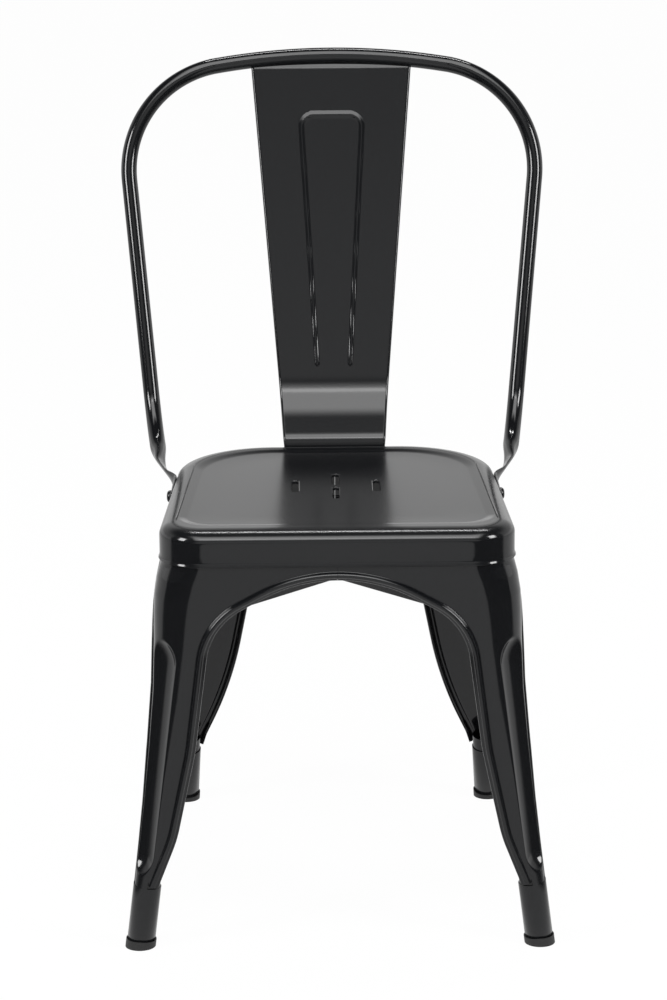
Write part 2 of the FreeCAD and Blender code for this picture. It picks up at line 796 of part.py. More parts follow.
def splat_block(front, back, narrower):
    """A slab that follows the splat's side view, trimmed to its tapering front view."""
    corners = [(p.y, p.z) for p in profile]
    radii = [splat_fold_radius.value, splat_foot_radius.value]
    near, near_radii = offset_line(corners, radii, front)
    far_side, far_radii = offset_line(corners, radii, back)
    near_path = rounded_path([Vector(0, y, z) for y, z in near], near_radii)
    far_path = rounded_path([Vector(0, y, z) for y, z in far_side], far_radii)
    ends = [Part.LineSegment(Vector(0, *near[i]), Vector(0, *far_side[i])).toShape() for i in (0, -1)]
    outline = Part.Wire(Part.__sortEdges__(near_path.Edges + far_path.Edges + ends))
    slab = Part.Face(outline).extrude(Vector(2 * splat_top_half.value + 40, 0, 0))
    slab.translate(Vector(-splat_top_half.value - 20, 0, 0))
    top = splat_top_half.value - narrower
    low = splat_low_half.value - narrower
    high_z = splat_top.z + 4
    low_z = splat_end_height.value - 2
    trim = Part.makePolygon([Vector(-low, 0, low_z), Vector(low, 0, low_z), Vector(top, 0, high_z),
                             Vector(-top, 0, high_z), Vector(-low, 0, low_z)])
    return slab.common(Part.Face(trim).extrude(Vector(0, far, 0)))


back_normal = Vector(0, -math.cos(lean), math.sin(lean))
emboss_start = emboss_top_drop.value
emboss_end = emboss_start + emboss_length.value
top_half = emboss_top_half.value
low_half = emboss_low_half.value
raise_by = skin / 2 + emboss_proud.value - emboss_radius.value
corners = [(-low_half, emboss_end), (-top_half, emboss_start), (top_half, emboss_start), (low_half, emboss_end)]
emboss_points = [back_point(x, down) + back_normal * raise_by for x, down in corners]
emboss = pipe(rounded_path(emboss_points, [emboss_corner.value] * 2), emboss_radius.value)
splat_sheet = splat_block(-skin / 2, skin / 2, 0)
rims = splat_block(-skin / 2, splat_lip.value, 0).cut(splat_block(-skin / 2 - 5, splat_lip.value + 5, skin))
emboss = emboss.cut(splat_block(skin / 2, 30, -20))
splat = splat_sheet.fuse([rims, emboss])
splat = splat.cut(pipe(hoop_path, hoop_radius.value))
add_shape("back_splat", splat)


# Hoop screws and nuts

def round_pad(body, name, radius, length, offset=None):
    sketch = body.newObject("Sketcher::SketchObject", f"{name}_circle")
    sketch.AttachmentSupport = [(plane_of(body, "XY_Plane"), "")]
    sketch.MapMode = "FlatFace"
    if offset is not None:
        sketch.setExpression(".AttachmentOffset.Base.z", offset.text)
    sketch.addGeometry(Part.Circle(Vector(0, 0, 0), Vector(0, 0, 1), float(radius)), False)
    sketch.addConstraint(Sketcher.Constraint("Coincident", 0, 3, -1, 1))
    index = sketch.addConstraint(Sketcher.Constraint("Radius", 0, float(radius)))
    sketch.setExpression(f"Constraints[{index}]", radius.text)
    return pad(body, name, sketch, length)


shank_length = tab_thickness + gauge + fit_gap + gauge + nut_height + 1
screw_body = doc.addObject("PartDesign::Body", "screw_pattern")
round_pad(screw_body, "screw_shank", screw_radius, shank_length + 1, as_size(0) - shank_length)
head = round_pad(screw_body, "screw_head", screw_head_radius, screw_head_height, as_size(0))
doc.recompute()
dome = screw_body.newObject("PartDesign::Fillet", "screw_dome")
head_top = screw_head_height.value
dome.Base = (head, edges_where(head.Shape, lambda e: e.BoundBox.ZMin > head_top - 0.01))
dome.Radius = screw_head_height.value * 0.8
dome.setExpression("Radius", (screw_head_height * 0.8).text)

nut_blank = doc.addObject("Part::Prism", "nut_blank")
nut_blank.Polygon = 6
nut_blank.setExpression("Circumradius", (nut_flats / math.sqrt(3)).text)
nut_blank.setExpression("Height", nut_height.text)
nut_bore = doc.addObject("Part::Cylinder", "nut_bore")
nut_bore.setExpression("Radius", screw_radius.text)
nut_bore.setExpression("Height", nut_height.text)
nut_pattern = doc.addObject("Part::Cut", "nut_pattern")
nut_pattern.Base = nut_blank
nut_pattern.Tool = nut_bore
doc.recompute()

under_head = tab_thickness
inner_face = as_size(0) - (gauge + fit_gap + gauge)


def placed(source, side, out):
    """A copy of a fastener on one side, with its own Z along the outward normal."""
    start, along = screw_axis(side)
    position = skirt_point(side, screw_y.value, screw_z.value, out)
    shape = source.Shape.copy()
    shape.Placement = Placement(position, Rotation(Vector(0, 0, 1), along))
    return shape


screws = [placed(screw_body, side, under_head.value) for side in (-1, 1)]
nuts = [placed(nut_pattern, side, (inner_face - nut_height).value) for side in (-1, 1)]
add_shape("hoop_screws", Part.Compound(screws))
add_shape("hoop_nuts", Part.Compound(nuts))

# Cross braces: two strips on edge, half lapped where they cross, ending on the legs' inner corners

room = add_shape("frame_room", inside, keep=False)
brace_level = (brace_low + brace_depth / 2).value
quad = frame_quad(brace_level, skin)
strips = {}
for name, start, end in (("cross_brace_a", quad[0], quad[2]), ("cross_brace_b", quad[1], quad[3])):
    strip = doc.addObject("Part::Box", f"{name}_strip")
    strip.Length = (end - start).Length
    strip.setExpression("Width", brace_gauge.text)
    strip.setExpression("Height", brace_depth.text)
    along = (end - start).normalize()
    turn = Rotation(Vector(1, 0, 0), along)
    strip.Placement = Placement(start + turn.multVec(Vector(0, -brace_gauge.value / 2, -brace_depth.value / 2)), turn)
    strips[name] = strip
cross = Vector(0, 0, 0)
first = quad[0]
share = (quad[1].x - quad[0].x) / ((quad[1].x - quad[0].x) + (quad[2].x - quad[3].x))
cross = first + (quad[2] - first) * share
for name, up in (("cross_brace_a", 1), ("cross_brace_b", 0)):
    notch = doc.addObject("Part::Box", f"{name}_notch")
    other = strips["cross_brace_b" if name == "cross_brace_a" else "cross_brace_a"]
    notch.setExpression("Length", (brace_gauge * 4).text)
    notch.setExpression("Width", (brace_gauge + fit_gap).text)
    notch.setExpression("Height", (brace_depth / 2 + fit_gap).text)
    turn = other.Placement.Rotation
    drop = -fit_gap.value / 2 if up else -(brace_depth + fit_gap).value / 2
    corner = Vector(-brace_gauge.value * 2, -(brace_gauge + fit_gap).value / 2, drop)
    notch.Placement = Placement(cross + turn.multVec(corner), turn)
    lapped = doc.addObject("Part::Cut", f"{name}_lapped")
    lapped.Base = strips[name]
    lapped.Tool = notch
    brace = doc.addObject("Part::Common", name)
    brace.Base = lapped
    brace.Tool = room
    pieces[name] = brace

# Foot glides: caps on the tubes' ends, each with a plug inside the tube

names = ["foot_glide_front_left", "foot_glide_front_right", "foot_glide_rear_right", "foot_glide_rear_left"]
for c, name in enumerate(names):
    radius = tube_radius.value
    cup = tube_block(c, radius + glide_lip.value, -10, glide_height.value)
    cup = cup.common(block(Vector(-far, -far, -1), Vector(far, far, glide_height.value)))
    plug = tube_block(c, radius - skin, 1, glide_plug.value)
    wall = tube_block(c, radius, -5, glide_plug.value + 5)
    wall = wall.cut(tube_block(c, radius - skin, -6, glide_plug.value + 6))
    wall = wall.common(block(Vector(-far, -far, tube_foot.value), Vector(far, far, 60)))
    cap = cup.fuse(plug).cut(wall)
    add_shape(name, cap.common(block(Vector(-far, -far, 0), Vector(far, far, 60))))

# Shift everything so that the origin is under the middle of the chair

front_extreme = seat_front - (gauge + fit_gap) + bead_proud
rear_extreme = hoop_top_y + hoop_radius
middle_y = (rear_extreme - front_extreme) / 2
doc.recompute()
for name, feature in pieces.items():
    feature.Placement = Placement(Vector(0, -middle_y.value, 0), Rotation()).multiply(feature.Placement)
    feature.Label = name

doc.recompute()
for item in doc.Objects:
    faults = [state for state in item.State if state in ("Invalid", "Error")]
    if faults:
        raise RuntimeError(f"{item.Name} is {faults}")
os.makedirs("parts", exist_ok=True)
for name, feature in pieces.items():
    shape = feature.Shape
    if shape.isNull() or not shape.isValid():
        raise RuntimeError(f"{name} has no valid shape")
    shape.exportStep(f"parts/{name}.step")
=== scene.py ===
import math

import bmesh
import bpy
import numpy as np
from mathutils import Matrix, Vector


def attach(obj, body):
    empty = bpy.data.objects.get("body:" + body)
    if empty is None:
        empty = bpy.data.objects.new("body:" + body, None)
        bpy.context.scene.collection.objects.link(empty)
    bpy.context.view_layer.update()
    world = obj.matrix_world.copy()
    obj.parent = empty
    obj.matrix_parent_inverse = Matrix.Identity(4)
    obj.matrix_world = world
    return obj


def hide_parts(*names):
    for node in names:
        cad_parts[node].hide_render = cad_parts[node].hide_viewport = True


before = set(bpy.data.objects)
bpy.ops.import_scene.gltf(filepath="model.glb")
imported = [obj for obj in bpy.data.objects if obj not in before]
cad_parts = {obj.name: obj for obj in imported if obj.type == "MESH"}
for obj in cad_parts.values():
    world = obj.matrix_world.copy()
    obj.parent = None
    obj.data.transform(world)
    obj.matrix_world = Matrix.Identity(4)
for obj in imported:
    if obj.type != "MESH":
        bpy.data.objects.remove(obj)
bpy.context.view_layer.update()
MM = 0.001


# Materials

class Wire:
    """A node's output that takes part in sums, so that a pattern reads as a formula."""

    def __init__(self, material, socket):
        self.material = material
        self.socket = socket

    def math(self, operation, *others):
        return self.material.node("ShaderNodeMath", 0, operation=operation, inputs=(self,) + others)

    def __add__(self, other):
        return self.math("ADD", other)

    def __sub__(self, other):
        return self.math("SUBTRACT", other)

    def __rsub__(self, other):
        return self.material.node("ShaderNodeMath", 0, operation="SUBTRACT", inputs=(other, self))

    def __mul__(self, other):
        return self.math("MULTIPLY", other)

    def step(self, low, high):
        """0 below low, 1 above high, and smooth between them."""
        node = self.material.tree.nodes.new("ShaderNodeMapRange")
        node.interpolation_type = "SMOOTHSTEP"
        self.material.link(self, node.inputs["Value"])
        node.inputs["From Min"].default_value = low
        node.inputs["From Max"].default_value = high
        return Wire(self.material, node.outputs[0])


class Surface:
    """A node tree for a material or the world, with one Principled shader where it has one."""

    def __init__(self, owner):
        self.owner = owner
        owner.use_nodes = True
        self.tree = owner.node_tree

    def link(self, source, target):
        if isinstance(source, Wire):
            self.tree.links.new(source.socket, target)
        else:
            target.default_value = source

    def node(self, kind, output=0, inputs=(), **settings):
        made = self.tree.nodes.new(kind)
        for name, value in settings.items():
            setattr(made, name, value)
        pairs = inputs.items() if isinstance(inputs, dict) else enumerate(inputs)
        for key, value in pairs:
            if value is not None:
                self.link(value, made.inputs[key])
        return Wire(self, made.outputs[output])

    def axes(self, coordinate):
        """The X, Y and Z of a texture coordinate."""
        split = self.node("ShaderNodeSeparateXYZ", 0, (self.node("ShaderNodeTexCoord", coordinate),))
        return [Wire(self, output) for output in split.socket.node.outputs]

    def finish(self, kind, shader):
        """Joins a shader to a new output node."""
        self.link(shader, self.tree.nodes.new(kind).inputs["Surface"])

    def shader(self, **values):
        principled = self.tree.nodes["Principled BSDF"]
        for name, value in values.items():
            self.link(value, principled.inputs[name.replace("_", " ")])


def black_paint():
    """Smooth black enamel with a faint orange peel, duller on the seat's flat top."""
    surface = Surface(bpy.data.materials.new("black_paint"))
    place = surface.node("ShaderNodeTexCoord", "Object")
    peel = surface.node("ShaderNodeTexNoise", 0, {"Vector": place, "Scale": 320.0, "Detail": 1.0})
    haze = surface.node("ShaderNodeTexNoise", 0, {"Vector": place, "Scale": 9.0, "Detail": 3.0})
    bump = surface.node("ShaderNodeBump", 0, {"Strength": 0.03, "Distance": 0.0005, "Height": peel})
    height = surface.axes("Object")[2]
    seat = height.step(0.43, 0.435) * (1 - height.step(0.442, 0.445))
    roughness = haze * 0.04 + 0.085 + seat * 0.1
    surface.shader(Base_Color=(0.0045, 0.0048, 0.0055, 1), Roughness=roughness, Normal=bump)
    return surface.owner


def glide_rubber():
    """Matt black rubber."""
    surface = Surface(bpy.data.materials.new("glide_rubber"))
    place = surface.node("ShaderNodeTexCoord", "Object")
    grain = surface.node("ShaderNodeTexNoise", 0, {"Vector": place, "Scale": 700.0, "Detail": 2.0})
    bump = surface.node("ShaderNodeBump", 0, {"Strength": 0.1, "Distance": 0.0003, "Height": grain})
    surface.shader(Base_Color=(0.012, 0.012, 0.012, 1), Roughness=0.5, Normal=bump)
    return surface.owner


PAINT = black_paint()
RUBBER = glide_rubber()


# Pieces

def finish_piece(name, mesh, material, nodes, smooth_angle=None):
    """Puts a finished mesh into the scene as the piece that stands for its CAD nodes."""
    piece = bpy.data.objects.new(name, mesh)
    bpy.context.scene.collection.objects.link(piece)
    mesh.materials.clear()
    mesh.materials.append(material)
    mesh.shade_smooth()
    if smooth_angle is not None:
        mesh.set_sharp_from_angle(angle=math.radians(smooth_angle))
    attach(piece, "root")
    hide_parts(*nodes)
    return piece


def merged_copy(node, name, material, smooth_angle=28):
    """The CAD node's own shape, merged into one smooth mesh."""
    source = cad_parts[node]
    source = source if isinstance(source, bpy.types.Object) else bpy.data.objects[node]
    mesh = source.data.copy()
    work = bmesh.new()
    work.from_mesh(mesh)
    bmesh.ops.remove_doubles(work, verts=work.verts, dist=2e-6)
    work.to_mesh(mesh)
    work.free()
    return finish_piece(name, mesh, material, [node], smooth_angle)


for node in ("cross_brace_a", "cross_brace_b"):
    merged_copy(node, f"{node}_painted", PAINT)
for node in ("hoop_screws", "hoop_nuts"):
    merged_copy(node, f"{node}_painted", PAINT)
for corner in ("front_left", "front_right", "rear_left", "rear_right"):
    merged_copy(f"foot_glide_{corner}", f"glide_{corner}", RUBBER)


# Sheet metal pieces: grids of points in millimetres, with Y as in the part before its last shift

SHIFT_Y = 72.85
GAUGE = 1.2
WELD = 2e-6


def grid_faces(rows, columns, start=0, flip=False, closed=False):
    """Quads between the points of a grid. A closed grid joins its last column to its first."""
    index = start + np.arange(rows * columns).reshape(rows, columns)
    if closed:
        index = np.hstack([index, index[:, :1]])
    quads = np.stack([index[:-1, :-1], index[:-1, 1:], index[1:, 1:], index[1:, :-1]], -1).reshape(-1, 4)
    return quads[:, ::-1] if flip else quads


class Sheet:
    """Collects grids of points into one mesh and welds their shared edges."""

    def __init__(self):
        self.points = []
        self.faces = []
        self.count = 0

    def add(self, grid, flip=False, closed=False):
        rows, columns = grid.shape[:2]
        self.faces.append(grid_faces(rows, columns, self.count, flip, closed))
        self.points.append(grid.reshape(-1, 3))
        self.count += rows * columns

    def cap(self, ring, flip=False):
        """Closes a ring of points with a fan around its middle."""
        count = len(ring)
        middle = self.count + count
        fan = [(self.count + i, self.count + (i + 1) % count, middle) for i in range(count)]
        self.faces.append(np.array([face[::-1] if flip else face for face in fan]))
        self.points.append(np.vstack([ring, ring.mean(0)]))
        self.count += count + 1

    def mesh(self, name, mirror=False):
        points = np.vstack(self.points) * MM
        points[:, 1] -= SHIFT_Y * MM
        if mirror:
            points[:, 0] *= -1
        faces = [tuple(int(i) for i in (face[::-1] if mirror else face))
                 for part in self.faces for face in part]
        mesh = bpy.data.meshes.new(name)
        mesh.from_pydata([tuple(p) for p in points], [], faces)
        work = bmesh.new()
        work.from_mesh(mesh)
        bmesh.ops.remove_doubles(work, verts=work.verts, dist=WELD)
        bmesh.ops.dissolve_degenerate(work, edges=work.edges, dist=WELD)
        work.to_mesh(mesh)
        work.free()
        return mesh


def held(name, mesh):
    """An object that holds a mesh while its modifiers are applied."""
    holder = bpy.data.objects.new(name, mesh)
    bpy.context.scene.collection.objects.link(holder)
    return holder


def applied(holder, *others):
    """The mesh that an object's modifiers give. The object and its tools are removed."""
    graph = bpy.context.evaluated_depsgraph_get()
    made = bpy.data.meshes.new_from_object(holder.evaluated_get(graph))
    for thing in (holder,) + others:
        bpy.data.objects.remove(thing)
    return made


def thickened(mesh, thickness):
    """The mesh of a sheet with its back side added, so that it has the sheet's thickness."""
    holder = held("holder", mesh)
    solid = holder.modifiers.new("thickness", "SOLIDIFY")
    solid.thickness = thickness * MM
    solid.offset = -1
    solid.use_even_offset = False
    return applied(holder)


def joined(name, *meshes):
    """One mesh made of several."""
    work = bmesh.new()
    for mesh in meshes:
        work.from_mesh(mesh)
    made = bpy.data.meshes.new(name)
    work.to_mesh(made)
    work.free()
    return made


def smooth(share):
    """0 to 1 with a level start and end."""
    share = np.clip(share, 0, 1)
    return share * share * (3 - 2 * share)


def unit(vectors):
    return vectors / np.linalg.norm(vectors, axis=-1, keepdims=True)


def directions(line):
    """The direction of a line at each of its points."""
    return unit(np.gradient(line, axis=0))


def travelled(line):
    """How far along a line each of its points is."""
    return np.concatenate([[0], np.cumsum(np.linalg.norm(np.diff(line, axis=0), axis=1))])


def round_corner(before, corner, after, radius, count=None, step=1.0):
    """Points of the arc that rounds the corner between two straight runs."""
    back, ahead = unit(before - corner), unit(after - corner)
    half = math.acos(np.clip(back @ ahead, -1, 1)) / 2
    centre = corner + unit(back + ahead) * radius / math.sin(half)
    reach = radius / math.tan(half)
    first = corner + back * reach - centre
    last = corner + ahead * reach - centre
    turn = math.pi - 2 * half
    shares = np.linspace(0, 1, count or max(2, int(radius * turn / step) + 1))
    return [centre + (first * math.sin((1 - share) * turn) + last * math.sin(share * turn)) / math.sin(turn)
            for share in shares]


def rounded_line(corners, radii, step):
    """Dense points along straight runs whose inner corners are rounded."""
    corners = [np.array(c, float) for c in corners]
    line = [corners[0]]
    for before, corner, after, radius in zip(corners, corners[1:], corners[2:], radii):
        line += round_corner(before, corner, after, radius, step=step)
    line.append(corners[-1])
    dense = [line[0]]
    for a, b in zip(line, line[1:]):
        count = max(1, int(np.linalg.norm(b - a) / step))
        dense.extend(a + (b - a) * share for share in np.linspace(0, 1, count + 1)[1:])
    return np.array(dense)


# Legs: the frame's sides, the arches cut into them, and the bend and flute of each corner

SKIRT_BOTTOM = 403
# Height and half width of the frame's front
FRONT_LEVELS = np.array([(0, 217.4), (104, 203.6), (150, 197.8), (210, 191.7), (270, 186.8), (320, 185.4),
                         (350, 185.4), (368, 184.6), (386, 181.6), (400, 177.6), (425, 177.2)])
FRONT_Y = -177.6
REAR_Y = 181.6
REAR_SLOPE = 104.4 / SKIRT_BOTTOM
REAR_HALF = 161.6
REAR_SPREAD = 25.4
REAR_FOOT_Y = 286.0
TUBE_RADIUS = 14.2
TUBE_TOP = 104
# Height and half width where the tube's axis is taken, above the floor
AXIS_HEIGHT = 150.0
FRONT_AXIS_HALF = 198.3
LEG_TOP = 422
LEG_LOW = 66
LEG_LEVELS = np.linspace(LEG_LOW, LEG_TOP, 190)
CORNER_RADIUS = {"front": 43.6, "rear": 98.6}
# The rolled rim's section: inwards from the arch's edge, and out of the face
RIM = np.array([(11, 0), (10.2, 0.05), (9.7, 0.3), (9.35, 0.9), (9.1, 1.7), (8.6, 2.6), (7.8, 3.35), (6.8, 3.75),
                (5.8, 3.75), (4.8, 3.4), (3.9, 2.6), (3.35, 1.5), (3.15, 0.3), (3.0, -0.6), (2.5, -1.3),
                (1.5, -1.7), (0.6, -2.2), (0.1, -3.2), (0, -4.6), (0.5, -5.8)])
# The rim stands less proud towards the foot: heights and shares of its full height
RIM_PROUD = ((70, 118, 200), (0.34, 0.66, 1.0))
# Height, radius and width of a leg's face at the shoulder, thigh, knee and ankle of its arch
SHOULDER_HEIGHT = 341
FRONT_LEG = ((SHOULDER_HEIGHT, 68, 59.5), (210, 250, 48.5), (118, 150, 38.7), (74, 0, 27.0))
REAR_LEG = ((SHOULDER_HEIGHT, 60, 86.0), (149, 480, 60.8), (80, 30, 34.2), (68, 0, 31.3))
CROWN_PITCH = math.radians(28.6)
CROWN_SHARE = 0.6
SEAM_GAP = 0.1
# The flute's upper and lower end: height and reach along the faces
FLUTE_ENDS = ((304, 25.5), (TUBE_TOP, 17))
FLUTE_STANDOFF = 10
FLUTE_CREASE = 0.5
# Height along the leg and radius of the foot tube's section
FOOT_TUBE = ((4.6, 11.9), (4.6, 13.7), (5.1, 14.18), (66.1, 14.18), (66.6, 12.95), (81, 12.95), (81, 11.9),
             (4.6, 11.9))


def front_half(z):
    return np.interp(z, *FRONT_LEVELS.T)


def rear_half(z):
    return REAR_HALF + REAR_SPREAD * np.maximum(0, SKIRT_BOTTOM - z) / SKIRT_BOTTOM


def rear_y(z):
    return REAR_Y + REAR_SLOPE * np.maximum(-20, SKIRT_BOTTOM - z) * (z < SKIRT_BOTTOM)


def corner_radius(z, rear):
    """The bend of a leg's outer corner, which narrows downwards to the foot tube."""
    share = np.clip((z - TUBE_TOP) / (SKIRT_BOTTOM - TUBE_TOP), 0, 1)
    return TUBE_RADIUS + (CORNER_RADIUS["rear" if rear else "front"] - TUBE_RADIUS) * share


def face_place(face, u, z, out=0):
    """Points of the frame's front, rear or right side, with out standing off it."""
    if face == "side":
        front, depth = front_half(z), rear_y(z) - FRONT_Y
        x = front + (rear_half(z) - front) * (u - FRONT_Y) / depth
        lean = front_half(z - 4) - front_half(z + 4)
        normal = np.stack([np.ones_like(z), (front - rear_half(z)) / depth, lean / 8], -1)
        base = np.stack([x, u, z], -1)
    elif face == "front":
        normal = np.stack([0 * z, 0 * z - 1, 0 * z], -1)
        base = np.stack([u, 0 * z + FRONT_Y, z], -1)
    else:
        normal = np.stack([0 * z, 0 * z + 1, 0 * z + REAR_SLOPE], -1)
        base = np.stack([u, rear_y(z), z], -1)
    return base + unit(normal) * np.asarray(out)[..., None]


def corner_line(face, z, rear):
    """Where a leg's outer corner is, along one of its faces."""
    if face == "side":
        return rear_y(z) if rear else 0 * z + FRONT_Y
    return rear_half(z) if rear else front_half(z)


def half_arch(face, rear):
    """The arch's edge from below the ankle to the seam, as points (u, z), its middle and its side."""
    own, other = (REAR_LEG, FRONT_LEG) if rear else (FRONT_LEG, REAR_LEG)
    sign = 1 if face == "side" and not rear else -1
    corners = [(corner_line(face, np.array(float(z)), rear) + sign * width, z) for z, _, width in own]
    shoulder = corners[0][0]
    if face == "side":
        far = corner_line(face, np.array(float(SHOULDER_HEIGHT)), not rear) - sign * other[0][2]
    else:
        far = -shoulder
    half_span = abs(far - shoulder) / 2
    middle = (far + shoulder) / 2
    crown = (middle, SHOULDER_HEIGHT + half_span * math.tan(CROWN_PITCH))
    crown_radius = half_span * CROWN_SHARE / math.sin(CROWN_PITCH)
    beyond = (2 * middle - shoulder, SHOULDER_HEIGHT)
    low = np.array(corners[-1]) + (np.array(corners[-1]) - corners[-2]) * 0.6
    line = rounded_line([low] + corners[-2::-1] + [crown, beyond],
                        [own[2][1], own[1][1], own[0][1], crown_radius], 1.4)
    return line[(line[:, 0] - middle) * sign < 0], middle, sign


def arch_edge(face, rear):
    """Points and inward normals of the arch's edge: one for each level of the leg, then to the seam."""
    line, middle, sign = half_arch(face, rear)
    along = directions(line)
    inwards = np.stack([-along[:, 1], along[:, 0]], -1) * sign
    steep = np.abs(along[:, 1]) > np.abs(along[:, 0])
    turn = len(steep) - 1 - np.argmax(steep[::-1])
    wanted = LEG_LOW + (LEG_LEVELS - LEG_LOW) * (line[turn, 1] - LEG_LOW) / (LEG_TOP - LEG_LOW)
    where = np.interp(wanted, line[:turn + 1, 1], np.arange(turn + 1))
    where = np.concatenate([where, np.linspace(turn, len(line) - 1, 60)[1:]])
    edge, normal = (np.stack([np.interp(where, np.arange(len(line)), values[:, i]) for i in (0, 1)], -1)
                    for values in (line, inwards))
    edge[-1, 0] = middle - sign * SEAM_GAP
    normal[-1] = (0, 1)
    return edge, normal, sign


def leg_face(face, rear):
    """A leg's face: its rolled rim, and the patch from the rim to the start of the corner's bend."""
    edge, normal, sign = arch_edge(face, rear)
    flat = edge[:, None] + normal[:, None] * RIM[None, :, :1]
    proud = np.interp(edge[:, 1], *RIM_PROUD)
    rim = face_place(face, flat[..., 0], flat[..., 1], RIM[None, :, 1] * proud[:, None])
    bend = corner_line(face, LEG_LEVELS, rear) + sign * corner_radius(LEG_LEVELS, rear)
    last = edge[len(LEG_LEVELS) - 1, 0]
    share = (edge[len(LEG_LEVELS):, 0] - last) / (edge[-1, 0] - last)
    top = np.stack([bend[-1] + (edge[-1, 0] - bend[-1]) * share, 0 * share + LEG_TOP], -1)
    target = np.vstack([np.stack([bend, LEG_LEVELS], -1), top])
    across = np.linspace(0, 1, 30)[None, :, None]
    flat = flat[:, :1] * (1 - across) + target[:, None] * across
    return rim, face_place(face, flat[..., 0], flat[..., 1])


def press_flute(points, rear):
    """Presses the tapering hollow into the leg's outer corner, with a rounded crease around it."""
    outside = (FLUTE_STANDOFF, FLUTE_STANDOFF if rear else -FLUTE_STANDOFF, 0)
    ends = []
    for z, reach in FLUTE_ENDS:
        z = np.array(float(z))
        corner = np.array([float(corner_line("front", z, rear)), float(corner_line("side", z, rear)), float(z)])
        ends.append((corner + outside, math.hypot(reach + FLUTE_STANDOFF, FLUTE_STANDOFF)))
    (high, high_radius), (low, low_radius) = ends
    axis = high - low
    share = np.clip((points - low) @ axis / (axis @ axis), 0, 1)
    radius = low_radius + (high_radius - low_radius) * share
    away = points - (low + share[:, None] * axis)
    distance = np.linalg.norm(away, axis=1)
    gap = distance - radius
    pushed = radius + (gap + np.sqrt(gap * gap + FLUTE_CREASE)) / 2 - 0.09
    eased = distance + (pushed - distance) * smooth((6 - gap) / 6)
    pushed = np.where(gap > 6, distance, np.where(gap > 0, eased, pushed))
    points += away / np.maximum(distance, 1e-6)[:, None] * (pushed - distance)[:, None]


def leg_axis(rear):
    """The foot tube's axis: a point on the floor and the direction up the leg."""
    height = np.array(AXIS_HEIGHT)
    if rear:
        foot = np.array([REAR_HALF + REAR_SPREAD, REAR_FOOT_Y, 0])
        high = np.array([float(rear_half(height)), float(rear_y(height)), AXIS_HEIGHT])
        inwards = TUBE_RADIUS * math.hypot(1, REAR_SLOPE)
    else:
        foot = np.array([front_half(0), FRONT_Y, 0])
        high = np.array([FRONT_AXIS_HALF, FRONT_Y, AXIS_HEIGHT])
        inwards = -TUBE_RADIUS
    return foot - (TUBE_RADIUS, inwards, 0), unit(high - foot)


def tube_mesh(name, rear, mirror):
    """The round tube that a leg ends in."""
    foot, along = leg_axis(rear)
    aside = unit(np.cross(along, (0, 1, 0)))
    around = np.cross(along, aside)
    angle = np.linspace(0, 2 * math.pi, 49)[:-1]
    ring = aside * np.cos(angle)[:, None] + around * np.sin(angle)[:, None]
    sheet = Sheet()
    sheet.add(np.array([foot + along * (z / along[2]) + ring * radius for z, radius in FOOT_TUBE]), closed=True)
    return sheet.mesh(name + "_tube", mirror)


def leg_mesh(name, rear, mirror):
    """A right leg, or its mirror image: two faces, the bend between them, the flute and the foot tube."""
    sheet = Sheet()
    borders = []
    for face in ("rear" if rear else "front", "side"):
        rim, patch = leg_face(face, rear)
        flip = (face == "side") != rear
        sheet.add(rim[:, ::-1], flip=flip)
        sheet.add(patch, flip=flip)
        borders.append(patch[:len(LEG_LEVELS), -1][:, None])
    first, second = borders
    corner = np.stack([corner_line(face, LEG_LEVELS, rear) for face in ("front", "side")] + [LEG_LEVELS], -1)
    corner = corner[:, None]
    angle = np.linspace(0, math.pi / 2, 31)[None, :, None]
    sheet.add(corner + (first - corner) * (1 - np.sin(angle)) + (second - corner) * (1 - np.cos(angle)), flip=rear)
    for points in sheet.points:
        press_flute(points, rear)
    solid = thickened(sheet.mesh(name + "_sheet", mirror), GAUGE)
    return joined(name, solid, tube_mesh(name, rear, mirror))


for row, rear in (("front", False), ("rear", True)):
    for side, mirror in (("left", True), ("right", False)):
        node = f"{row}_leg_{side}"
        finish_piece(f"{node}_painted", leg_mesh(node, rear, mirror), PAINT, [node], 50)


# Seat pan: rings of points from the skirt's lower edge over the rim into the dish

# Half width in front and behind, front and rear edge, radius of the front and of the rear corners
SEAT_OUTLINE = (178.6, 163, -179, 183, 45, 100)
DISH_OUTLINE = (162.1, 146.5, -151, 163, 34, 86)
# The skirt's rolled lower edge: how far inside the outline, and height
SKIRT_LIP = ((-1.0, 403), (-1.25, 403.3), (-1.1, 404), (-0.6, 405), (-0.2, 406.2))
SKIRT_LEVELS = (408, 414, 420, 425)
ROLL_BOTTOM = 426
ROLL_HEIGHT = 12.9
ROLL_INSET = 18
DISH_EDGE = 438.6
DISH_FLOOR = 436.5
DISH_SLOPE = 11
SEAT_MIDDLE = np.array([0, 6, DISH_FLOOR])
SLOT_PLACES = ((-42, 9.5), (42, 9.5), (0, 37), (0, -18))
SLOT_HALF_WIDTH = 3.5
SLOT_HALF_LENGTH = 23
SLOT_CUT = (430, 442)
# The slot's lip: how far outside the slot, and height
SLOT_LIP = ((1.25, 436.49), (0.8, 436.42), (0.3, 436.1), (0.05, 435.6), (0, 434.8), (0, 432.9), (1.0, 432.9),
            (1.25, 435.2), (1.25, 436.49))


